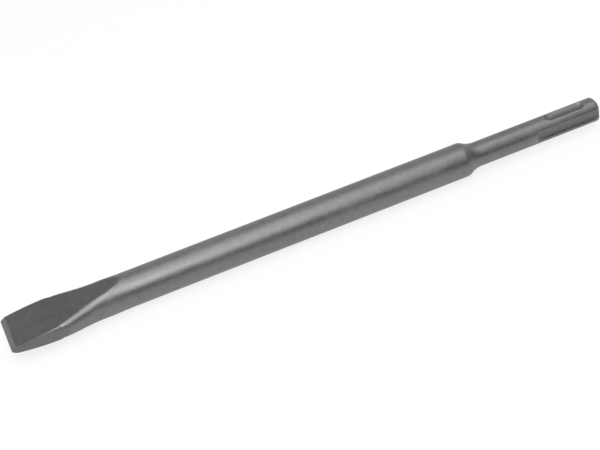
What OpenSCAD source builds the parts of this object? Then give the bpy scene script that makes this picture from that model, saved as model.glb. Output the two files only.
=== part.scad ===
// Flat chisel with a grooved shank, forged and ground from one piece of steel.
// All sizes are in millimetres. The chisel lies on its round body with the
// cutting edge towards -X, the striking face towards +X and the blade's two
// broad faces level. The origin is under the middle of the whole length, on
// the surface that the body rests on.

/* [Overall] */
// Whole length, from the cutting edge to the striking face
overall_length = 250; // [200:1:400]
// Diameter of the round body
body_diameter = 14; // [13:0.5:18]

/* [Blade] */
// Width of the blade across its two flat sides
blade_width = 20; // [19:0.5:32]
// Distance from the cutting edge at which the round body begins to spread
spread_start = 40; // [32:1:60]
// Distance from the cutting edge at which the spread reaches the full width
spread_full = 18; // [10:1:24]
// Angle between the two broad faces of the blade
wedge_angle = 14.4; // [9:0.1:20]
// Length of the ground bevel behind the cutting edge
bevel_length = 2; // [1:0.25:4]
// Thickness of the blade where the ground bevel meets the broad faces
bevel_thickness = 2.9; // [2:0.1:4.5]
// Thickness left at the cutting edge itself
edge_thickness = 0.6; // [0.2:0.1:1.2]
// Radius of the two corners of the cutting edge, seen from above
tip_corner_radius = 0.5; // [0.2:0.1:2]

/* [Shoulder] */
// Length over which the body falls to the shank
shoulder_length = 7; // [4:0.5:12]
// Radius of the rounded rim where the body ends
rim_radius = 4; // [1:0.25:5]

/* [Shank] */
// Diameter of the shank
shank_diameter = 10; // [9:0.5:11]
// Length of the straight shank, from the shoulder to the striking face
shank_length = 53.3; // [45:0.1:80]
// Chamfer around the striking face
end_chamfer = 1.2; // [0.4:0.1:2]

/* [Locking grooves] */
// Distance from the striking face to the near end of each closed groove
groove_offset = 5; // [4:0.25:10]
// Length of each closed groove at the shank's surface
groove_length = 18; // [12:0.5:24]
// Depth of each closed groove below the shank's surface
groove_depth = 1.5; // [0.8:0.1:2]
// Radius of the round bottom of each closed groove
groove_radius = 3.3; // [2.6:0.1:3.8]

/* [Driving slots] */
// Length of each open slot at the shank's surface, from the striking face
slot_length = 29; // [22:0.5:36]
// Depth of each open slot below the shank's surface
slot_depth = 1.75; // [1:0.05:2.2]
// Width of the flat floor of each open slot
slot_floor_width = 3.6; // [2.6:0.1:4.2]
// Width of each open slot at the shank's surface
slot_mouth_width = 4.6; // [4.4:0.1:5.2]
// Radius of the curve by which the floor of each open slot rises to the surface
runout_radius = 8; // [4:0.5:16]

/* [Hidden] */
// Segments of each full circle
$fn = 96;
// Straight steps in each of the shoulder's two arcs
arc_steps = 8;
// Overlap that carries each cutting shape clear of the surface that it cuts
clear = 1;
steel_grey = [0.62, 0.62, 0.61];

body_r = body_diameter / 2;
shank_r = shank_diameter / 2;

// Spread of the blade: an arc that leaves the body's side without a corner
spread_rise = blade_width / 2 - body_r;
spread_run = spread_start - spread_full;
spread_radius = (pow(spread_run, 2) + pow(spread_rise, 2)) / (2 * spread_rise);
spread_reach = blade_width;

// Shoulder: a rounded rim that flows into the hollow at its foot. The two arcs
// meet at the steepest point of the fall and share its angle to the axis.
shank_start = overall_length - shank_length;
rim_start = shank_start - shoulder_length;
fall_angle = 2 * atan((body_r - shank_r) / shoulder_length);
root_radius = shoulder_length / sin(fall_angle) - rim_radius;

// Closed grooves: a round-ended bar laid along the shank
groove_height = shank_r - groove_depth + groove_radius;
groove_end_run = sqrt(pow(groove_radius, 2) - pow(groove_height - shank_r, 2));
groove_near = overall_length - groove_offset - groove_end_run;
groove_straight = groove_length - 2 * groove_end_run;

// Open slots: a bar with sloping sides whose floor rises along an arc
slot_floor_r = shank_r - slot_depth;
slot_top_r = shank_r + clear;
slot_side_slope = (slot_mouth_width - slot_floor_width) / 2 / slot_depth;
slot_top_width = slot_mouth_width + 2 * clear * slot_side_slope;
runout_run = sqrt(pow(runout_radius, 2) - pow(runout_radius - slot_depth, 2));
runout_start = overall_length - slot_length + runout_run;

// Points along an arc, with angles counted from the outline's first direction.
function arc_points(centre, radius, from, to) = [
    for (i = [0:arc_steps])
        let (angle = from + (to - from) * i / arc_steps)
        centre + radius * [cos(angle), sin(angle)]
];

// Half of the lengthwise outline of the round blank: distance from the axis
// first, distance from the cutting edge second.
module blank_outline() {
    // spread of the blade, hollowed by the large arc
    difference() {
        square([spread_reach, spread_start]);
        translate([body_r, spread_start])
            translate([spread_radius, 0])
                circle(r = spread_radius);
    }
    // straight body, shoulder, and straight shank with its chamfered end
    polygon(concat(
        [[0, spread_start], [body_r, spread_start]],
        arc_points([body_r - rim_radius, rim_start], rim_radius, 0, fall_angle),
        arc_points([shank_r + root_radius, shank_start], root_radius, 180 + fall_angle, 180),
        [
            [shank_r, overall_length - end_chamfer],
            [shank_r - end_chamfer, overall_length],
            [0, overall_length]
        ]
    ));
}

// The round blank with its axis along X and the cutting edge's end at X = 0.
module blank() {
    rotate([90, 0, 90])
        rotate_extrude()
            blank_outline();
}

// Side view of the blade: a blunt edge, the ground bevel and the two long
// faces of the wedge, which run on until they clear the body.
module blade_side_view() {
    far = overall_length + clear;
    half_far = bevel_thickness / 2 + (far - bevel_length) * tan(wedge_angle / 2);
    rotate([90, 0, 0])
        linear_extrude(height = 3 * blade_width, center = true)
            polygon([
                [0, -edge_thickness / 2],
                [bevel_length, -bevel_thickness / 2],
                [far, -half_far],
                [far, half_far],
                [bevel_length, bevel_thickness / 2],
                [0, edge_thickness / 2]
            ]);
}

// View of the blade from above: two straight sides and two small corner arcs.
module blade_top_view() {
    half = blade_width / 2;
    corner = tip_corner_radius;
    linear_extrude(height = 3 * body_diameter, center = true) {
        translate([corner, -half])
            square([overall_length + clear, blade_width]);
        translate([0, corner - half])
            square([corner, blade_width - 2 * corner]);
        for (side = [-1, 1])
            intersection() {
                translate([corner, side * (half - corner)])
                    circle(r = corner);
                translate([0, side * (half - corner / 2) - corner / 2])
                    square([corner, corner]);
            }
    }
}

// The bar that leaves one closed groove in the top of the shank: a straight
// round bar with a quarter of a disc at each end, turned about its own axis.
module groove_bar() {
    translate([groove_near, 0, groove_height])
        rotate([90, 0, 90])
            rotate_extrude() {
                intersection() {
                    circle(r = groove_radius);
                    square(groove_radius + clear);
                }
                translate([0, -groove_straight]) {
                    square([groove_radius, groove_straight]);
                    intersection() {
                        circle(r = groove_radius);
                        translate([0, -groove_radius - clear])
                            square(groove_radius + clear);
                    }
                }
            }
}

// The bar that leaves one open slot in the +Y side of the shank.
module slot_bar() {
    intersection() {
        rotate([90, 0, 90])
            linear_extrude(height = overall_length + clear)
                polygon([
                    [slot_floor_r, -slot_floor_width / 2],
                    [slot_top_r, -slot_top_width / 2],
                    [slot_top_r, slot_top_width / 2],
                    [slot_floor_r, slot_floor_width / 2]
                ]);
        translate([runout_start, slot_floor_r, 0])
            linear_extrude(height = shank_diameter, center = true) {
                square([slot_length, slot_depth + clear]);
                intersection() {
                    translate([0, runout_radius])
                        circle(r = runout_radius);
                    translate([-runout_radius, 0])
                        square([runout_radius, slot_depth + clear]);
                }
            }
    }
}

// The whole chisel, laid down with its body on the ground.
module chisel() {
    color(steel_grey)
        translate([-overall_length / 2, 0, body_r])
            difference() {
                intersection() {
                    blank();
                    blade_side_view();
                    blade_top_view();
                }
                for (turn = [0, 180])
                    rotate([turn, 0, 0]) {
                        groove_bar();
                        slot_bar();
                    }
            }
}

chisel();
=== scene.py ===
import math

import bpy
from mathutils import Matrix, Vector


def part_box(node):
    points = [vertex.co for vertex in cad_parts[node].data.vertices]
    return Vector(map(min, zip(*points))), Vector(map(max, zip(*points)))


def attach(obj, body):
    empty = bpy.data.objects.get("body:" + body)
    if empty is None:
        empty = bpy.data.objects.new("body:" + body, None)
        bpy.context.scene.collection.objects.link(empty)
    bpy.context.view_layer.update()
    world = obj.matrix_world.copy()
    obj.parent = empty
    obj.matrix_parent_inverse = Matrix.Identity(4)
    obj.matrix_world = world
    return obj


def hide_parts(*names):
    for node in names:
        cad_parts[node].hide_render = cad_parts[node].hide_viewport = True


bl_info = {
    "name": "Flat chisel",
    "version": (1, 0, 0),
    "blender": (4, 5, 0),
    "location": "3D View > Sidebar > Chisel",
    "description": "Forges, grinds and finishes a flat chisel and sets it on a pale floor",
    "category": "Object",
}

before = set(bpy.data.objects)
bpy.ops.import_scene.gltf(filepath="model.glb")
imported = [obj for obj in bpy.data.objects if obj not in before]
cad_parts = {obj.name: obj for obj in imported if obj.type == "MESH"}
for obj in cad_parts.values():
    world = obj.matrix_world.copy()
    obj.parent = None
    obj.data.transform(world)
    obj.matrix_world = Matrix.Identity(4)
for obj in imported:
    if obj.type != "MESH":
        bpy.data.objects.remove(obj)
NODE = "chisel"
# One millimetre in metres, and a quarter turn in radians.
MM = 0.001
QUARTER = math.pi / 2
# Length, width and height of the solid, in millimetres.
LENGTH, WIDTH, HEIGHT = (
    round((high - low) / MM, 2) for low, high in zip(*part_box(NODE)))

# name of the size: (label, what it is, value in millimetres)
SIZES = {
    "overall_length": ("Length", "Whole length of the chisel", LENGTH),
    "body_radius": ("Body radius", "Radius of the round body", HEIGHT / 2),
    "blade_width": ("Blade width", "Width across the blade's flat sides", WIDTH),
    "spread_start": (
        "Spread start", "Distance from the edge where the body begins to spread", 38.5),
    "spread_full": (
        "Spread full", "Distance from the edge where the blade is at full width", 20.0),
    "swell_start": ("Swell start", "Distance from the edge where the body begins to swell", 50.0),
    "swell_full": ("Swell full", "Distance from the edge where the swell is complete", 33.0),
    "swell": ("Swell", "Slight swell of the body before it spreads", 0.35),
    "overfill": ("Overfill", "How far the spread runs past the blade's sides", 0.30),
    "tip_taper": ("Tip taper", "How much each side draws in towards the cutting edge", 0.4),
    "taper_length": (
        "Taper length", "Distance from the edge where the sides begin to draw in", 13.0),
    "wedge_rise": ("Wedge rise", "Half thickness that the blade gains in one metre", 126.33),
    "face_hollow": ("Face hollow", "Depth of the shallow hollow along each broad face", 0.42),
    "hollow_start": ("Hollow start", "Distance from the edge where the hollow begins", 6.0),
    "hollow_end": ("Hollow end", "Distance from the edge where the hollow ends", 52.0),
    "bevel_length": ("Bevel length", "Length of the ground bevel", 2.0),
    "bevel_thickness": ("Bevel thickness", "Thickness where the bevel meets the faces", 2.9),
    "edge_thickness": ("Edge thickness", "Thickness left at the cutting edge", 0.6),
    "tip_rounding": ("Tip rounding", "Rounding of the blade's two front corners", 0.9),
    "shoulder_length": ("Shoulder length", "Length over which the body falls to the shank", 7.0),
    "rim_radius": ("Rim radius", "Radius of the rounded rim of the body", 4.0),
    "shank_radius": ("Shank radius", "Radius of the shank", 5.0),
    "shank_length": ("Shank length", "Length of the straight shank", 53.3),
    "end_chamfer": ("End chamfer", "Chamfer round the striking face", 1.2),
    "groove_offset": ("Groove offset", "Distance from the striking face to a closed groove", 5.0),
    "groove_length": ("Groove length", "Length of a closed groove", 18.0),
    "groove_depth": ("Groove depth", "Depth of a closed groove", 1.5),
    "groove_radius": ("Groove radius", "Radius of a closed groove's round bottom", 3.3),
    "slot_length": ("Slot length", "Length of an open slot", 29.0),
    "slot_depth": ("Slot depth", "Depth of an open slot", 1.75),
    "slot_floor": ("Slot floor", "Width of an open slot's flat floor", 3.6),
    "slot_mouth": ("Slot mouth", "Width of an open slot at the surface", 4.6),
    "runout_radius": (
        "Run-out radius", "Radius by which a slot's floor rises to the surface", 8.0),
    "blade_rounding": ("Blade rounding", "Softness of the blade's edges near its tip", 0.25),
    "spread_rounding": ("Spread rounding", "Softness of the edges where the bar spreads", 3.8),
    "soften_start": (
        "Soften start", "Distance from the edge where the blade's edges begin to soften", 8.0),
    "soften_end": (
        "Soften end", "Distance from the edge where the blade's edges are softest", 26.0),
    "settle_start": (
        "Settle start", "Distance from the edge where soft edges begin to sharpen", 28.0),
    "settle_end": (
        "Settle end", "Distance from the edge where soft edges have sharpened", 43.0),
    "bevel_rounding": ("Bevel rounding", "Softness of the edges of the ground bevel", 0.12),
    "lip_rounding": ("Lip rounding", "Softness of the lips of the grooves and slots", 0.6),
    "slot_rounding": ("Slot rounding", "Softness of the corners in an open slot's bottom", 0.45),
    "unevenness": ("Unevenness", "Height of the forged surface's slow waves", 0.03),
}

# How steeply the blank goes on widening in front of the full spread.
SPREAD_SLOPE = 0.3
# Shares of the rounding where the bar spreads: the gap between the true broad
# faces and the loose ones outside them, and the widths of the joins of the
# loose faces with the blank, of the loose faces with the sides, and of the
# true faces with the rest.
LOOSE_GAP = 0.14
BLANK_JOIN = 1.45
SIDE_JOIN = 1.15
FACE_JOIN = 0.12
# What is left of the blank's join once the edges have sharpened again.
SETTLED_JOIN = 0.25
# Softness of the striking face's edges against the bevel's, and of the slots'
# lips against the grooves'.
END_SOFTNESS = 3
SLOT_SOFTNESS = 1.5

# Points round each section of the bar, a multiple of eight.
RING = 160
# How closely the rings stand: the place in millimetres where each stretch
# ends, from the cutting edge, and the number of rings in it.
STRETCHES = (
    (0.4, 8), (1.6, 6), (2.6, 14), (20.0, 60), (78.0, 150), (187.5, 60),
    (198.0, 64), (219.5, 16), (233.0, 100), (241.0, 16), (246.0, 40),
    (248.2, 7), (LENGTH, 24),
)
# Distances from the cutting edge between which the points let go of the
# blade's corners, and between which they take up the lips of the shank.
LEAVE_BLADE = (45 * MM, 85 * MM)
TAKE_SHANK = (85 * MM, 125 * MM)
# How strongly the points crowd towards the blade's corners from its side and
# from its top, and the largest sine that a corner's angle may have.
SIDE_CROWDING = 1.35
TOP_CROWDING = 1.8
LARGEST_SINE = 0.9996
# Angles up from the side of the shank: the first is level with an open slot's
# floor, just short of its sloping wall, and the second is at the slot's lip.
# A closed groove's lip is as far from the top.
WALL_ANGLE = math.radians(20.5)
LIP_ANGLE = math.radians(27.4)
# Shares of the quarter turn from side to top, and the shank's angles there.
SHANK_STOPS = (
    (0.0, 0.0), (0.20, WALL_ANGLE), (0.45, LIP_ANGLE),
    (0.62, QUARTER - LIP_ANGLE), (1.0, QUARTER),
)
# Length of each ray: a share of the blank's radius, and a length on the shank.
RAY_SHARE = 0.999
SHANK_RAY = 3 * MM
# The search for the steel's surface starts half way along each ray: its first
# step as a share of the ray, its number of halvings, and the distance that
# counts as on the surface.
FIRST_STEP = 0.25
HALVINGS = 22
ON_SURFACE = 1e-8

# Distances in millimetres to the surfaces, less than zero inside the steel:
# where each mask begins, and where it is full.
RIDGE_SPAN = (-0.9, -0.05)
INSIDE_SPAN = (-0.1, -0.7)
BESIDE_SPAN = (-0.2, -0.02)
CUT_SPAN = (-0.02, -0.3)
# Strength of the painted shade on the flat steel of the broad faces and of the sides.
FACE_SHADE_STRENGTH = 0.6
SIDE_SHADE_STRENGTH = 0.36
# The ground steel stops this far inside the blade's sides.
GROUND_INSET = 0.04 * MM
# Forging waves: waves in a metre, finer steps, the level of the noise that
# stays at the true surface, and the length over which they begin.
WAVE_SCALE = 55.0
WAVE_DETAIL = 1.5
WAVE_LEVEL = 0.75
WAVE_START = 4 * MM

# Parts of the noise's range that are stretched to the full range from 0 to 1.
CLOUD_RANGE = (0.28, 0.72)
DRIFT_RANGE = (0.3, 0.7)
PATCH_RANGE = (0.25, 0.7)
# Power that narrows the wear to the very edge.
WEAR_SHARPNESS = 1.5
# Tone of the blasted steel: its base, and what each kind of unevenness adds.
BASE_TONE = 0.79
DRIFT_TONE = 0.10
GRAIN_TONE = 0.14
CLOUD_TONE = 0.18
# Painted shade: how much the steel's colour is darkened inside the grooves and slots, where shade
# falls, and on the flat faces and sides of the blade.
RECESS_PAINTED_SHADE = 0.15
FLAT_PAINTED_SHADE = 0.57
# What drift and clouds add to the roughness, and what wear takes from it.
DRIFT_ROUGHNESS = 0.06
CLOUD_ROUGHNESS = 0.05
WEAR_POLISH = 0.08
# Tone and roughness of the ground steel between its lines, and what they add.
GROUND_TONE, LINE_TONE = 0.82, 0.3
GROUND_ROUGHNESS, LINE_ROUGHNESS = 0.44, 0.12

# Half the width of the floor, in metres.
FLOOR_REACH = 3.0
# Parts of the room's depth and height over which its brightness changes.
ROOM_DEPTH = (-0.7, 0.7)
ROOM_HEIGHT = (0.15, 1.0)
# The point that the camera looks at, and the camera's turns about the upright,
# about its own level line and about its line of sight.
CAMERA_AIM = Vector((-5.2, 0.0, 7.0)) * MM
CAMERA_SWING = math.radians(10.72)
CAMERA_TIP = math.radians(50.40)
CAMERA_ROLL = math.radians(21.225)
# Steps of the camera beside its line of sight: down before it rolls, and up
# and left by equal steps after it has rolled.
CAMERA_DROP = 1.064 * MM
CAMERA_STEP = 0.194 * MM


def length_property(label, text, millimetres):
    """A size in metres, shown in the scene's own unit of length."""
    return bpy.props.FloatProperty(
        name=label, description=text, default=millimetres * MM,
        min=0.0, precision=5, subtype="DISTANCE", unit="LENGTH")


def share_property(label, text, value, low=0.0):
    """A share from low to 1."""
    return bpy.props.FloatProperty(
        name=label, description=text, default=value, min=low, max=1.0, subtype="FACTOR")


def power_property(label, text, watts):
    """A lamp's power in watts."""
    return bpy.props.FloatProperty(
        name=label, description=text, default=watts, min=0.0, subtype="POWER", unit="POWER")


def colour_property(label, text, value):
    """A colour without alpha."""
    return bpy.props.FloatVectorProperty(
        name=label, description=text, default=value,
        min=0.0, max=1.0, size=3, subtype="COLOR")


class ChiselSizes(bpy.types.PropertyGroup):
    """The chisel's sizes."""


for _name, (_label, _text, _value) in SIZES.items():
    ChiselSizes.__annotations__[_name] = length_property(_label, _text, _value)


class ChiselFinish(bpy.types.PropertyGroup):
    """The colours and the polish of the steel."""
    forged_colour: colour_property(
        "Forged steel", "Colour of the blasted steel", (0.215, 0.215, 0.212))
    ground_colour: colour_property(
        "Ground steel", "Colour of the freshly ground bevel", (0.235, 0.235, 0.232))
    worn_colour: colour_property(
        "Worn edge", "Colour of the steel where handling has brightened it", (0.32, 0.32, 0.315))
    roughness: share_property("Roughness", "Roughness of the blasted steel", 0.45, low=0.05)


class ChiselStage(bpy.types.PropertyGroup):
    """The floor, the light and the camera."""
    floor_colour: colour_property(
        "Floor", "Colour of the plain floor", (0.95, 0.95, 0.95))
    near_surround: share_property(
        "Near surround", "Brightness of the room behind the camera", 0.05)
    far_surround: share_property(
        "Far surround", "Brightness of the room behind the chisel", 0.85)
    high_surround: share_property(
        "High surround", "Brightness of the room above the chisel", 0.6)
    backdrop_share: share_property(
        "Backdrop share", "How far the floor shows as a plain white backdrop", 0.8)
    overhead_power: power_property(
        "Overhead lamp", "Power of the wide soft lamp above the chisel", 3.1)
    blade_power: power_property(
        "Blade lamp", "Power of the smaller soft lamp near the blade", 5.0)
    lens: bpy.props.FloatProperty(
        name="Lens", description="Focal length for a sensor 36 mm wide",
        default=95.9, min=10.0, subtype="DISTANCE_CAMERA")
    distance: length_property(
        "Camera distance", "Distance from the camera to the middle of the view", 620.0)


def feed(tree, socket, item):
    """Link a number or another node's output to an input, or set a plain value."""
    if isinstance(item, Number):
        item = item.socket
    if isinstance(item, bpy.types.NodeSocket):
        tree.links.new(item, socket)
    else:
        socket.default_value = item


def node_with(tree, kind, inputs=(), **settings):
    """A node with its settings, and its inputs as pairs of input and item."""
    node = tree.nodes.new(kind)
    for name, value in settings.items():
        setattr(node, name, value)
    for name, item in inputs:
        feed(tree, node.inputs[name], item)
    return node


class Number:
    """One number in a node tree. Signs of arithmetic make Math nodes from it."""

    def __init__(self, tree, socket):
        self.tree = tree
        self.socket = socket

    def math(self, operation, *others):
        node = node_with(
            self.tree, "ShaderNodeMath", enumerate((self, *others)), operation=operation)
        return Number(self.tree, node.outputs[0])

    def __add__(self, other):
        return self.math("ADD", other)

    def __sub__(self, other):
        return self.math("SUBTRACT", other)

    def __rsub__(self, other):
        return self.math("MULTIPLY_ADD", -1.0, other)

    def __mul__(self, other):
        return self.math("MULTIPLY", other)

    def __truediv__(self, other):
        return self.math("DIVIDE", other)

    def __neg__(self):
        return self.math("MULTIPLY", -1.0)

    __rmul__ = __mul__

    def abs(self):
        return self.math("ABSOLUTE")

    def sin(self):
        return self.math("SINE")

    def cos(self):
        return self.math("COSINE")

    def root(self):
        return self.math("SQRT")

    def square(self):
        return self.math("MULTIPLY", self)

    def inverse(self):
        return self.math("POWER", -1.0)

    def least(self, other):
        return self.math("MINIMUM", other)

    def most(self, other):
        return self.math("MAXIMUM", other)

    def soft_most(self, other, width):
        return self.math("SMOOTH_MAX", other, width)

    def within(self, low, high):
        return self.most(low).least(high)

    def ramp(self, start, end, low=0.0, high=1.0, smooth=True):
        """low before start, high after end, and a rise between them."""
        node = node_with(
            self.tree, "ShaderNodeMapRange", enumerate((self, start, end, low, high)),
            interpolation_type="SMOOTHSTEP" if smooth else "LINEAR")
        return Number(self.tree, node.outputs[0])

    def over(self, span, low=0.0, high=1.0):
        """A smooth rise over a span in millimetres."""
        return self.ramp(span[0] * MM, span[1] * MM, low, high)


def hypotenuse(*sides):
    """Root of the sum of squares."""
    total = sides[0].square()
    for side in sides[1:]:
        total = total + side.square()
    return total.root()


def leg(long_side, short_side):
    """The third side of a right triangle, from its longest side and another."""
    return (long_side.square() - short_side.square()).root()


def arc_fall(radius, run):
    """How far an arc falls from its top at a distance beside it."""
    return radius - leg(radius, run)


def between(first, second, share):
    """A number between two others, by a share from 0 to 1."""
    return first * (1 - share) + second * share


def through_stops(number, stops, unit=1.0):
    """Straight stretches through stops, which are pairs of input and output."""
    total = None
    for (start, low), (end, high) in zip(stops, stops[1:]):
        rise = number.ramp(start, end, 0.0, (high - low) * unit, smooth=False)
        total = rise if total is None else total + rise
    return total


def split(tree, vector):
    """The three numbers of a vector socket."""
    node = node_with(tree, "ShaderNodeSeparateXYZ", [(0, vector)])
    return [Number(tree, socket) for socket in node.outputs]


def join(tree, x, y, z):
    """A vector socket from three numbers."""
    return node_with(tree, "ShaderNodeCombineXYZ", enumerate((x, y, z))).outputs[0]


def scaled(tree, vector, amount):
    """A vector or colour socket multiplied by a number."""
    node = node_with(
        tree, "ShaderNodeVectorMath", [(0, vector), ("Scale", amount)], operation="SCALE")
    return node.outputs[0]


def noise_value(tree, vector, scale, detail, roughness=0.5):
    """A noise value from 0 to 1 at a scale in waves per metre."""
    node = node_with(tree, "ShaderNodeTexNoise", [
        ("Vector", vector), ("Scale", scale), ("Detail", detail), ("Roughness", roughness),
    ], noise_dimensions="3D")
    return Number(tree, node.outputs[0])


class Steel:
    """The chisel's shape as sums on the sizes, worked out in a node tree."""

    def __init__(self, size):
        self.size = size
        self.half_width = size["blade_width"] / 2
        self.spread = self.half_width - size["body_radius"]
        fall = (size["body_radius"] - size["shank_radius"]) / size["shoulder_length"]
        fall_angle = fall.math("ARCTANGENT") * 2
        both_radii = size["shoulder_length"] / fall_angle.sin()
        self.root_radius = both_radii - size["rim_radius"]
        self.shank_start = size["overall_length"] - size["shank_length"]
        self.rim_start = self.shank_start - size["shoulder_length"]
        self.rim_run = size["rim_radius"] * fall_angle.sin()
        self.root_run = self.root_radius * fall_angle.sin()
        self.root_fall = self.root_radius * (1 - fall_angle.cos())

    def blank_radius(self, along):
        """Radius of the round blank at a distance from the cutting edge."""
        size = self.size
        swell = along.ramp(size["swell_full"], size["swell_start"], size["swell"], 0.0)
        spread = along.ramp(
            size["spread_full"], size["spread_start"],
            self.spread + size["overfill"] - size["swell"], 0.0)
        beyond = (size["spread_full"] - along).most(0.0) * SPREAD_SLOPE
        rim = (along - self.rim_start).within(0.0, self.rim_run)
        foot = (self.shank_start - along).within(0.0, self.root_run)
        shoulder = self.root_fall - arc_fall(self.root_radius, foot)
        widest = size["body_radius"] + (spread + swell + beyond)
        return widest - arc_fall(size["rim_radius"], rim) - shoulder

    def half_thickness(self, along):
        """Half thickness of the wedge and of its ground bevel."""
        size = self.size
        start = size["bevel_thickness"] / 2
        wedge = (along - size["bevel_length"]) * size["wedge_rise"] + start
        # The product of the two shares is a quarter at most.
        into = along.ramp(size["hollow_start"], size["hollow_end"], smooth=False)
        wedge = wedge - into * (1 - into) * size["face_hollow"] * 4
        slope = (size["bevel_thickness"] - size["edge_thickness"]) / 2 / size["bevel_length"]
        bevel = along * slope + size["edge_thickness"] / 2
        return wedge.math("SMOOTH_MIN", bevel, size["bevel_rounding"])

    def side(self, along):
        """Half width of the blade between its flat sides."""
        size = self.size
        return self.half_width - along.ramp(
            0.0, size["taper_length"], size["tip_taper"], 0.0, smooth=False)

    def groove(self, along, across, up):
        """How deep a place lies in a closed groove, left by a round-ended bar."""
        size = self.size
        radius = size["groove_radius"]
        height = size["shank_radius"] - size["groove_depth"] + radius
        end_run = leg(radius, height - size["shank_radius"])
        last = size["overall_length"] - size["groove_offset"]
        first = last - size["groove_length"]
        beside = along - along.within(first + end_run, last - end_run)
        return radius - hypotenuse(beside, across, up.abs() - height)

    def slot(self, along, across, up):
        """How deep a place lies in an open slot, whose floor rises along an arc."""
        size = self.size
        radius = size["runout_radius"]
        floor = size["shank_radius"] - size["slot_depth"]
        slant = (size["slot_mouth"] - size["slot_floor"]) / 2 / size["slot_depth"]
        run = leg(radius, radius - size["slot_depth"])
        start = size["overall_length"] - size["slot_length"] + run
        before = (start - along).within(0.0, radius)
        above = (floor + arc_fall(radius, before)) - across.abs()
        wall = up.abs() - (size["slot_floor"] / 2 + (across.abs() - floor) * slant)
        return -above.soft_most(wall, size["slot_rounding"])

    def surfaces(self, along, across, up):
        """Distances to the surfaces that bound the steel, less than zero inside."""
        size = self.size
        out = hypotenuse(across, up)
        rim = size["shank_radius"] + size["overall_length"] - size["end_chamfer"]
        return {
            "blank": out - self.blank_radius(along),
            "faces": up.abs() - self.half_thickness(along),
            "sides": across.abs() - self.side(along),
            "front": -along,
            "end": along - size["overall_length"],
            "chamfer": (out + along - rim) * math.sqrt(0.5),
            "groove": self.groove(along, across, up),
            "slot": self.slot(along, across, up),
        }

    def distance(self, along, across, up):
        """One distance for the whole chisel, with its edges rounded.

        Where the bar spreads, the rounding runs on to loose faces outside the
        true ones. The true faces cut it off, which leaves a crisp boundary.
        """
        size = self.size
        part = self.surfaces(along, across, up)
        soft = along.ramp(
            size["soften_start"], size["soften_end"],
            size["blade_rounding"], size["spread_rounding"])
        settle = along.ramp(size["settle_start"], size["settle_end"], 1.0, SETTLED_JOIN)
        loose = part["faces"] - soft * LOOSE_GAP
        shape = part["blank"].soft_most(loose, soft * settle * BLANK_JOIN)
        flat = part["sides"].soft_most(part["front"], size["tip_rounding"])
        flat = flat.soft_most(loose, soft * SIDE_JOIN)
        shape = shape.soft_most(flat, size["blade_rounding"])
        for name, width in (
            ("faces", soft * FACE_JOIN),
            ("chamfer", size["bevel_rounding"] * END_SOFTNESS),
            ("end", size["bevel_rounding"] * END_SOFTNESS),
            ("groove", size["lip_rounding"]),
            ("slot", size["lip_rounding"] * SLOT_SOFTNESS),
        ):
            shape = shape.soft_most(part[name], width)
        return shape


def ring_places(ring):
    """Distance from the cutting edge of each ring, from the ring's number."""
    stops = [(0, 0.0)]
    for end, steps in STRETCHES:
        stops.append((stops[-1][0] + steps, end))
    return through_stops(ring, stops, MM)


def aim_rays(steel, turn, along):
    """Angles of each point's place on the blank and of the ray through it.

    turn runs from 0 at the side of the chisel to 1 at its top. On the blade
    the points crowd along the boundary of the broad face. On the shank they
    crowd at the lips, and the rays run straight into the grooves and slots.
    """
    thickness = steel.half_thickness(along)
    corner_radius = steel.blank_radius(along).least(hypotenuse(steel.side(along), thickness))
    meeting = (thickness / corner_radius).least(LARGEST_SINE).math("ARCSINE")
    corner = between(meeting, QUARTER / 2, along.ramp(*LEAVE_BLADE))
    lower = 1 - (1 - turn * 2).most(0.0).math("POWER", SIDE_CROWDING)
    upper = (turn * 2 - 1).most(0.0).math("POWER", TOP_CROWDING)
    upper_angle = corner.sin().math("ARCTAN2", corner.cos() * (1 - upper))
    blade = between(corner * lower, upper_angle, turn.math("GREATER_THAN", 0.5))

    shank = through_stops(turn, SHANK_STOPS)
    slant = shank.ramp(LIP_ANGLE, QUARTER - LIP_ANGLE, 0.0, QUARTER, smooth=False)
    on_shank = along.ramp(*TAKE_SHANK)
    return between(blade, shank, on_shank), between(blade, slant, on_shank)


def stored(tree, shape, name, value, kind="FLOAT"):
    """A shape whose points carry a named value."""
    return node_with(tree, "GeometryNodeStoreNamedAttribute", [
        ("Geometry", shape), ("Name", name), ("Value", value),
    ], data_type=kind, domain="POINT").outputs[0]


def moved(tree, shape, way, vector):
    """A shape whose points are moved by an Offset or to a Position."""
    return node_with(
        tree, "GeometryNodeSetPosition", [("Geometry", shape), (way, vector)]).outputs[0]


def aimed_bar(tree, steel, position):
    """The plain bar: each point half a ray inside the blank, with its ray."""
    size = steel.size
    rings = sum(steps for _, steps in STRETCHES)
    bar = node_with(tree, "GeometryNodeMeshCylinder", [
        ("Vertices", RING), ("Side Segments", rings), ("Radius", 1.0), ("Depth", 1.0),
    ], fill_type="NGON")
    x, y, z = split(tree, position)
    along = ring_places((z + 0.5) * float(rings))
    turn = y.abs().math("ARCTAN2", x.abs()) / QUARTER
    place, slant = aim_rays(steel, turn, along)
    radius = steel.blank_radius(along)
    reach = along.ramp(*TAKE_SHANK, radius * RAY_SHARE, SHANK_RAY)
    side, top = x.math("SIGN"), y.math("SIGN")
    ray = join(tree, 0.0, slant.cos() * reach * side, slant.sin() * reach * top)
    shape = stored(tree, bar.outputs["Mesh"], "ray", ray, "FLOAT_VECTOR")
    return moved(tree, shape, "Position", join(
        tree, along - size["overall_length"] / 2,
        (place.cos() * radius - slant.cos() * reach * 0.5) * side,
        (place.sin() * radius - slant.sin() * reach * 0.5) * top + size["body_radius"]))


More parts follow.
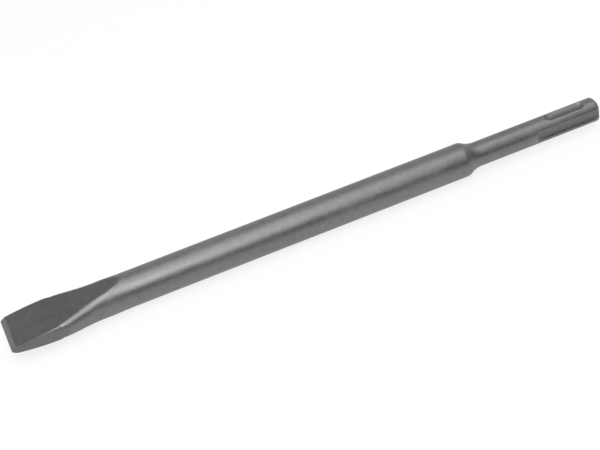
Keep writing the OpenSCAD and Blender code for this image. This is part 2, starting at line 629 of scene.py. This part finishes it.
def found_surface(tree, steel, shape, where):
    """Each point halves its way along its ray to the surface of the steel."""
    enter = tree.nodes.new("GeometryNodeRepeatInput")
    leave = tree.nodes.new("GeometryNodeRepeatOutput")
    enter.pair_with_output(leave)
    leave.repeat_items.new("FLOAT", "Step")
    for name, item in (("Iterations", HALVINGS), ("Step", FIRST_STEP), ("Geometry", shape)):
        feed(tree, enter.inputs[name], item)
    step = Number(tree, enter.outputs["Step"])
    inside = steel.distance(*where).math("LESS_THAN", ON_SURFACE)
    ray = node_with(tree, "GeometryNodeInputNamedAttribute",
                    [("Name", "ray")], data_type="FLOAT_VECTOR").outputs[0]
    stride = scaled(tree, ray, (inside * 2 - 1) * step)
    feed(tree, leave.inputs["Geometry"],
         moved(tree, enter.outputs["Geometry"], "Offset", stride))
    feed(tree, leave.inputs["Step"], step * 0.5)
    return leave.outputs["Geometry"]


def finish_masks(part):
    """Masks for worn ridges, and for painted shade inside the grooves and slots and on flat
    steel, by name.
    """
    blank, faces, sides = part["blank"], part["faces"], part["sides"]
    cuts = part["groove"].most(part["slot"])
    ridge = blank.least(faces)
    for other in (
        faces.least(sides),
        blank.least(cuts),
        blank.least(part["chamfer"].most(part["end"])),
        faces.most(sides).least(part["front"]),
    ):
        ridge = ridge.most(other)
    # Painted shade: this mask darkens the colour of the blade's broad faces and, less, of its
    # sides.
    flat = (faces.over(BESIDE_SPAN, high=FACE_SHADE_STRENGTH)
            + sides.over(BESIDE_SPAN, high=SIDE_SHADE_STRENGTH))
    return {
        "ridge": ridge.over(RIDGE_SPAN),
        # Painted shade: this mask darkens the colour inside the grooves and slots, where shade
        # falls.
        "recess_painted_shade": blank.over(INSIDE_SPAN) * cuts.over(BESIDE_SPAN),
        "flat": blank.over(CUT_SPAN) * flat,
    }


def forging_waves(tree, steel, shape, position, along):
    """Slow waves that forging leaves in the bar and the blade."""
    size = steel.size
    wave = noise_value(tree, position, WAVE_SCALE, WAVE_DETAIL)
    normal = tree.nodes.new("GeometryNodeInputNormal").outputs[0]
    off_shank = 1 - along.ramp(steel.rim_start, steel.shank_start)
    lift = (wave - WAVE_LEVEL) * size["unevenness"] * off_shank
    lift = lift * along.ramp(size["bevel_length"], size["bevel_length"] + WAVE_START)
    return moved(tree, shape, "Offset", scaled(tree, normal, lift))


def chisel_tree(forged, ground):
    """The tree that makes the chisel from its sizes."""
    tree = bpy.data.node_groups.new("chisel_form", "GeometryNodeTree")
    tree.interface.new_socket("Mesh", in_out="OUTPUT", socket_type="NodeSocketGeometry")
    for name, (_, text, value) in SIZES.items():
        socket = tree.interface.new_socket(
            name, in_out="INPUT", socket_type="NodeSocketFloat", description=text)
        socket.default_value = value * MM
    given = tree.nodes.new("NodeGroupInput")
    size = {name: Number(tree, given.outputs[name]) for name in SIZES}
    steel = Steel(size)
    position = tree.nodes.new("GeometryNodeInputPosition").outputs[0]
    x, y, z = split(tree, position)
    where = (x + size["overall_length"] / 2, y, z - size["body_radius"])
    along = where[0]
    part = steel.surfaces(*where)

    shape = aimed_bar(tree, steel, position)
    shape = found_surface(tree, steel, shape, where)
    for name, mask in finish_masks(part).items():
        shape = stored(tree, shape, name, mask)
    shape = forging_waves(tree, steel, shape, position, along)
    shape = node_with(tree, "GeometryNodeRemoveAttribute", [
        ("Geometry", shape), ("Name", "ray"),
    ]).outputs[0]
    shape = node_with(tree, "GeometryNodeRealizeInstances", [("Geometry", shape)]).outputs[0]
    on_bevel = along.math("LESS_THAN", size["bevel_length"])
    on_bevel = on_bevel * part["sides"].math("LESS_THAN", -GROUND_INSET)
    for selection, material in ((True, forged), (on_bevel, ground)):
        shape = node_with(tree, "GeometryNodeSetMaterial", [
            ("Geometry", shape), ("Selection", selection), ("Material", material),
        ]).outputs[0]
    feed(tree, tree.nodes.new("NodeGroupOutput").inputs[0], shape)
    return tree


def shader_group(name, inputs, outputs):
    """An empty node group with named number inputs and outputs."""
    tree = bpy.data.node_groups.new(name, "ShaderNodeTree")
    for label, value in inputs:
        socket = tree.interface.new_socket(label, in_out="INPUT", socket_type="NodeSocketFloat")
        socket.default_value = value
    for label in outputs:
        tree.interface.new_socket(label, in_out="OUTPUT", socket_type="NodeSocketFloat")
    given = tree.nodes.new("NodeGroupInput")
    out = tree.nodes.new("NodeGroupOutput")
    where = tree.nodes.new("ShaderNodeTexCoord").outputs["Object"]
    values = {label: Number(tree, given.outputs[label]) for label, _ in inputs}
    return tree, values, where, out


def blast_group():
    """Blasted grain: a fine height, cloudy scale, and a slow drift of tone."""
    tree, given, where, out = shader_group("blasted_grain", [
        ("Grain Size", 0.35 * MM), ("Cloud Size", 2.2 * MM), ("Drift Size", 18 * MM),
    ], ["Height", "Cloud", "Tone"])
    grain = noise_value(tree, where, given["Grain Size"].inverse(), detail=3.0, roughness=0.6)
    cloud = noise_value(tree, where, given["Cloud Size"].inverse(), detail=4.0, roughness=0.62)
    drift = noise_value(tree, where, given["Drift Size"].inverse(), detail=4.0, roughness=0.55)
    feed(tree, out.inputs["Height"], grain)
    feed(tree, out.inputs["Cloud"], cloud.ramp(*CLOUD_RANGE))
    feed(tree, out.inputs["Tone"], drift.ramp(*DRIFT_RANGE))
    return tree


def lines_group():
    """Fine parallel lines that a grinding wheel leaves across the bevel."""
    tree, given, where, out = shader_group(
        "grinding_lines", [("Spacing", 0.12 * MM), ("Length", 6 * MM)], ["Lines"])
    x, y, z = split(tree, where)
    near, far = given["Spacing"].inverse(), given["Length"].inverse()
    vector = join(tree, x * far, y * near, z * far)
    lines = noise_value(tree, vector, 1.0, detail=3.0, roughness=0.65)
    feed(tree, out.inputs["Lines"], lines)
    return tree


def wear_group():
    """Edges brightened by handling, broken up so that they aren't even."""
    tree, given, where, out = shader_group(
        "edge_wear", [("Ridge", 0.0), ("Amount", 0.6), ("Patch Size", 3 * MM)], ["Mask"])
    patch = noise_value(tree, where, given["Patch Size"].inverse(), detail=4.0, roughness=0.6)
    sharp = given["Ridge"].math("POWER", WEAR_SHARPNESS)
    feed(tree, out.inputs["Mask"], sharp * patch.ramp(*PATCH_RANGE) * given["Amount"])
    return tree


def group_node(tree, group, **values):
    """A group placed in a tree, with its inputs set or linked by name."""
    node = tree.nodes.new("ShaderNodeGroup")
    node.node_tree = group
    for name, value in values.items():
        feed(tree, node.inputs[name.replace("_", " ").title()], value)
    return {socket.name: Number(tree, socket) for socket in node.outputs}


def mask_value(tree, name):
    """A mask that the chisel's mesh carries."""
    node = tree.nodes.new("ShaderNodeAttribute")
    node.attribute_name = name
    return Number(tree, node.outputs["Fac"])


def blended(tree, amount, first, second):
    """One colour mixed into another by a number."""
    # Of the node's inputs and outputs, these are the ones for colours.
    node = node_with(tree, "ShaderNodeMix", data_type="RGBA")
    for place, item in ((0, amount), (6, (*first, 1.0)), (7, (*second, 1.0))):
        feed(tree, node.inputs[place], item)
    return node.outputs[2]


def bumped(tree, height, distance, strength):
    """A normal from a height."""
    return node_with(tree, "ShaderNodeBump", [
        ("Distance", distance), ("Strength", strength), ("Height", height),
    ]).outputs[0]


def new_material(name):
    """A material with only a Principled shader, which is all metal."""
    material = bpy.data.materials.new(name)
    material.use_nodes = True
    tree = material.node_tree
    tree.nodes.clear()
    shader = node_with(tree, "ShaderNodeBsdfPrincipled", [("Metallic", 1.0)])
    node_with(tree, "ShaderNodeOutputMaterial", [("Surface", shader.outputs[0])])
    return material, tree, shader


def forged_material(finish, groups):
    """Blasted, oiled steel of the blade's faces, the body and the shank."""
    material, tree, shader = new_material("forged_steel")
    grain = group_node(tree, groups["grain"], grain_size=0.35 * MM, drift_size=16 * MM)
    wear = group_node(
        tree, groups["wear"], ridge=mask_value(tree, "ridge"), amount=0.35, patch_size=3 * MM)
    colour = blended(tree, wear["Mask"], finish.forged_colour, finish.worn_colour)
    tone = (grain["Tone"] * DRIFT_TONE + grain["Height"] * GRAIN_TONE
            + grain["Cloud"] * CLOUD_TONE + BASE_TONE)
    # Painted shade: the colour is darkened inside the grooves and slots.
    tone = tone * (1 - mask_value(tree, "recess_painted_shade") * RECESS_PAINTED_SHADE)
    # Painted shade: the colour is darkened on the blade's broad faces and sides.
    tone = tone * (1 - mask_value(tree, "flat") * FLAT_PAINTED_SHADE)
    rough = (grain["Tone"] * DRIFT_ROUGHNESS + grain["Cloud"] * CLOUD_ROUGHNESS
             + (finish.roughness - CLOUD_ROUGHNESS))
    feed(tree, shader.inputs["Base Color"], scaled(tree, colour, tone))
    feed(tree, shader.inputs["Roughness"], rough - wear["Mask"] * WEAR_POLISH)
    normal = bumped(tree, grain["Height"], distance=0.03 * MM, strength=0.6)
    feed(tree, shader.inputs["Normal"], normal)
    return material


def ground_material(finish, groups):
    """Freshly ground steel of the bevel and of the cutting edge."""
    material, tree, shader = new_material("ground_steel")
    lines = group_node(tree, groups["lines"], spacing=0.12 * MM, length=5 * MM)
    wear = group_node(
        tree, groups["wear"], ridge=mask_value(tree, "ridge"), amount=0.5, patch_size=1.5 * MM)
    colour = blended(tree, wear["Mask"], finish.ground_colour, finish.worn_colour)
    tone = lines["Lines"] * LINE_TONE + GROUND_TONE
    rough = lines["Lines"] * LINE_ROUGHNESS + GROUND_ROUGHNESS
    feed(tree, shader.inputs["Base Color"], scaled(tree, colour, tone))
    feed(tree, shader.inputs["Roughness"], rough)
    normal = bumped(tree, lines["Lines"], distance=0.02 * MM, strength=0.5)
    feed(tree, shader.inputs["Normal"], normal)
    return material


class OBJECT_OT_forge_chisel(bpy.types.Operator):
    """Forge the chisel from its sizes and finish its steel"""
    bl_idname = "object.forge_chisel"
    bl_label = "Forge the chisel"

    def execute(self, context):
        sizes = context.scene.chisel_sizes
        finish = context.scene.chisel_finish
        groups = {"grain": blast_group(), "lines": lines_group(), "wear": wear_group()}
        forged = forged_material(finish, groups)
        ground = ground_material(finish, groups)
        tree = chisel_tree(forged, ground)
        piece = bpy.data.objects.new("forged_chisel", bpy.data.meshes.new("forged_chisel"))
        context.scene.collection.objects.link(piece)
        modifier = piece.modifiers.new("form", "NODES")
        modifier.node_group = tree
        for item in tree.interface.items_tree:
            if item.in_out == "INPUT":
                modifier[item.identifier] = getattr(sizes, item.name)
        depsgraph = context.evaluated_depsgraph_get()
        depsgraph.update()
        whole = piece.evaluated_get(depsgraph)
        mesh = bpy.data.meshes.new_from_object(
            whole, preserve_all_data_layers=True, depsgraph=depsgraph)
        piece.modifiers.remove(modifier)
        piece.data = mesh
        if len(mesh.polygons) < RING:
            raise RuntimeError("the chisel's mesh is empty")
        # The two ends, each one face with many corners, stay flat.
        for polygon in mesh.polygons:
            polygon.use_smooth = len(polygon.vertices) == 4
        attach(piece, "root")
        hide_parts(NODE)
        return {"FINISHED"}


class SCENE_OT_chisel_stage(bpy.types.Operator):
    """Set the floor, the lamps and the camera"""
    bl_idname = "scene.chisel_stage"
    bl_label = "Set the stage"

    def execute(self, context):
        stage = context.scene.chisel_stage
        self.lay_floor(context, stage)
        self.light(context, stage)
        self.place_camera(context, stage)
        context.scene.view_settings.view_transform = "Standard"
        return {"FINISHED"}

    def lay_floor(self, context, stage):
        """A large plain floor, partly a white backdrop to the camera and in reflections."""
        mesh = bpy.data.meshes.new("floor")
        corners = [(-1, -1), (1, -1), (1, 1), (-1, 1)]
        mesh.from_pydata(
            [(x * FLOOR_REACH, y * FLOOR_REACH, 0) for x, y in corners], [], [(0, 1, 2, 3)])
        floor = bpy.data.objects.new("floor", mesh)
        context.scene.collection.objects.link(floor)
        material = bpy.data.materials.new("pale_floor")
        material.use_nodes = True
        tree = material.node_tree
        shader = tree.nodes["Principled BSDF"]
        shader.inputs["Base Color"].default_value = (*stage.floor_colour, 1.0)
        shader.inputs["Roughness"].default_value = 0.9
        shader.inputs["Specular IOR Level"].default_value = 0.0
        plain = tree.nodes.new("ShaderNodeEmission")
        path = tree.nodes.new("ShaderNodeLightPath")
        rays = [Number(tree, path.outputs[name]) for name in (
            "Is Camera Ray", "Is Glossy Ray", "Is Transmission Ray")]
        share = rays[0].most(rays[1]).most(rays[2]) * stage.backdrop_share
        mix = node_with(tree, "ShaderNodeMixShader", [
            (0, share), (1, shader.outputs[0]), (2, plain.outputs[0])])
        feed(tree, tree.nodes["Material Output"].inputs["Surface"], mix.outputs[0])
        mesh.materials.append(material)

    def light(self, context, stage):
        """A grey room, darker behind the camera, and two soft lamps."""
        world = bpy.data.worlds.new("grey_room")
        world.use_nodes = True
        tree = world.node_tree
        where = tree.nodes.new("ShaderNodeTexCoord").outputs["Generated"]
        depth, height = split(tree, where)[1:]
        low = depth.ramp(*ROOM_DEPTH, stage.near_surround, stage.far_surround)
        level = height.ramp(*ROOM_HEIGHT, low, stage.high_surround)
        room = tree.nodes["Background"]
        feed(tree, room.inputs["Color"], (1.0, 1.0, 1.0, 1.0))
        feed(tree, room.inputs["Strength"], level)
        context.scene.world = world
        # Each lamp has its place, its two sides in metres and its power, and
        # faces straight across to the chisel's line.
        for name, place, sides, power in (
            ("overhead", (0.05, -0.03, 0.95), (1.3, 0.60), stage.overhead_power),
            ("blade_side", (-0.17, -0.62, 0.80), (0.50, 0.60), stage.blade_power),
        ):
            lamp = bpy.data.lights.new(name, "AREA")
            lamp.shape = "RECTANGLE"
            lamp.size, lamp.size_y = sides
            lamp.energy = power
            holder = bpy.data.objects.new(name, lamp)
            holder.location = place
            aim = Vector((place[0], 0.0, 0.0)) - holder.location
            holder.rotation_mode = "QUATERNION"
            holder.rotation_quaternion = aim.to_track_quat("-Z", "Y")
            context.scene.collection.objects.link(holder)

    def place_camera(self, context, stage):
        """The camera looks down on the chisel from -Y, with the blade at the left."""
        swing, tip, roll = CAMERA_SWING, CAMERA_TIP, CAMERA_ROLL
        right = Vector((
            math.cos(swing), -math.sin(swing) * math.sin(tip), math.sin(swing) * math.cos(tip)))
        up = Vector((0.0, math.cos(tip), math.sin(tip)))
        back = right.cross(up)
        turned_right = right * math.cos(roll) - up * math.sin(roll)
        turned_up = right * math.sin(roll) + up * math.cos(roll)
        place = Matrix((turned_right, turned_up, back)).transposed().to_4x4()
        place.translation = (
            CAMERA_AIM + back * stage.distance - up * CAMERA_DROP
            + (turned_up - turned_right) * CAMERA_STEP)
        holder = bpy.data.objects.new("camera", bpy.data.cameras.new("camera"))
        holder.data.lens = stage.lens
        holder.data.sensor_width = 36.0
        holder.matrix_world = place
        context.scene.collection.objects.link(holder)
        context.scene.camera = holder


class VIEW3D_PT_chisel(bpy.types.Panel):
    """The chisel's sizes, finish and stage"""
    bl_label = "Chisel"
    bl_idname = "VIEW3D_PT_chisel"
    bl_space_type = "VIEW_3D"
    bl_region_type = "UI"
    bl_category = "Chisel"

    def draw(self, context):
        layout = self.layout
        scene = context.scene
        for group, button in (
            (scene.chisel_sizes, None),
            (scene.chisel_finish, "object.forge_chisel"),
            (scene.chisel_stage, "scene.chisel_stage"),
        ):
            box = layout.box()
            for name in group.__annotations__:
                box.prop(group, name)
            if button:
                box.operator(button)


CLASSES = (
    ChiselSizes, ChiselFinish, ChiselStage,
    OBJECT_OT_forge_chisel, SCENE_OT_chisel_stage, VIEW3D_PT_chisel,
)


def register():
    for item in CLASSES:
        bpy.utils.register_class(item)
    bpy.types.Scene.chisel_sizes = bpy.props.PointerProperty(type=ChiselSizes)
    bpy.types.Scene.chisel_finish = bpy.props.PointerProperty(type=ChiselFinish)
    bpy.types.Scene.chisel_stage = bpy.props.PointerProperty(type=ChiselStage)


def unregister():
    del bpy.types.Scene.chisel_stage
    del bpy.types.Scene.chisel_finish
    del bpy.types.Scene.chisel_sizes
    for item in reversed(CLASSES):
        bpy.utils.unregister_class(item)


def main():
    """Makes every piece."""
    register()
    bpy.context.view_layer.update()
    bpy.ops.object.forge_chisel()
    bpy.ops.scene.chisel_stage()


if __name__ == "__main__":
    main()
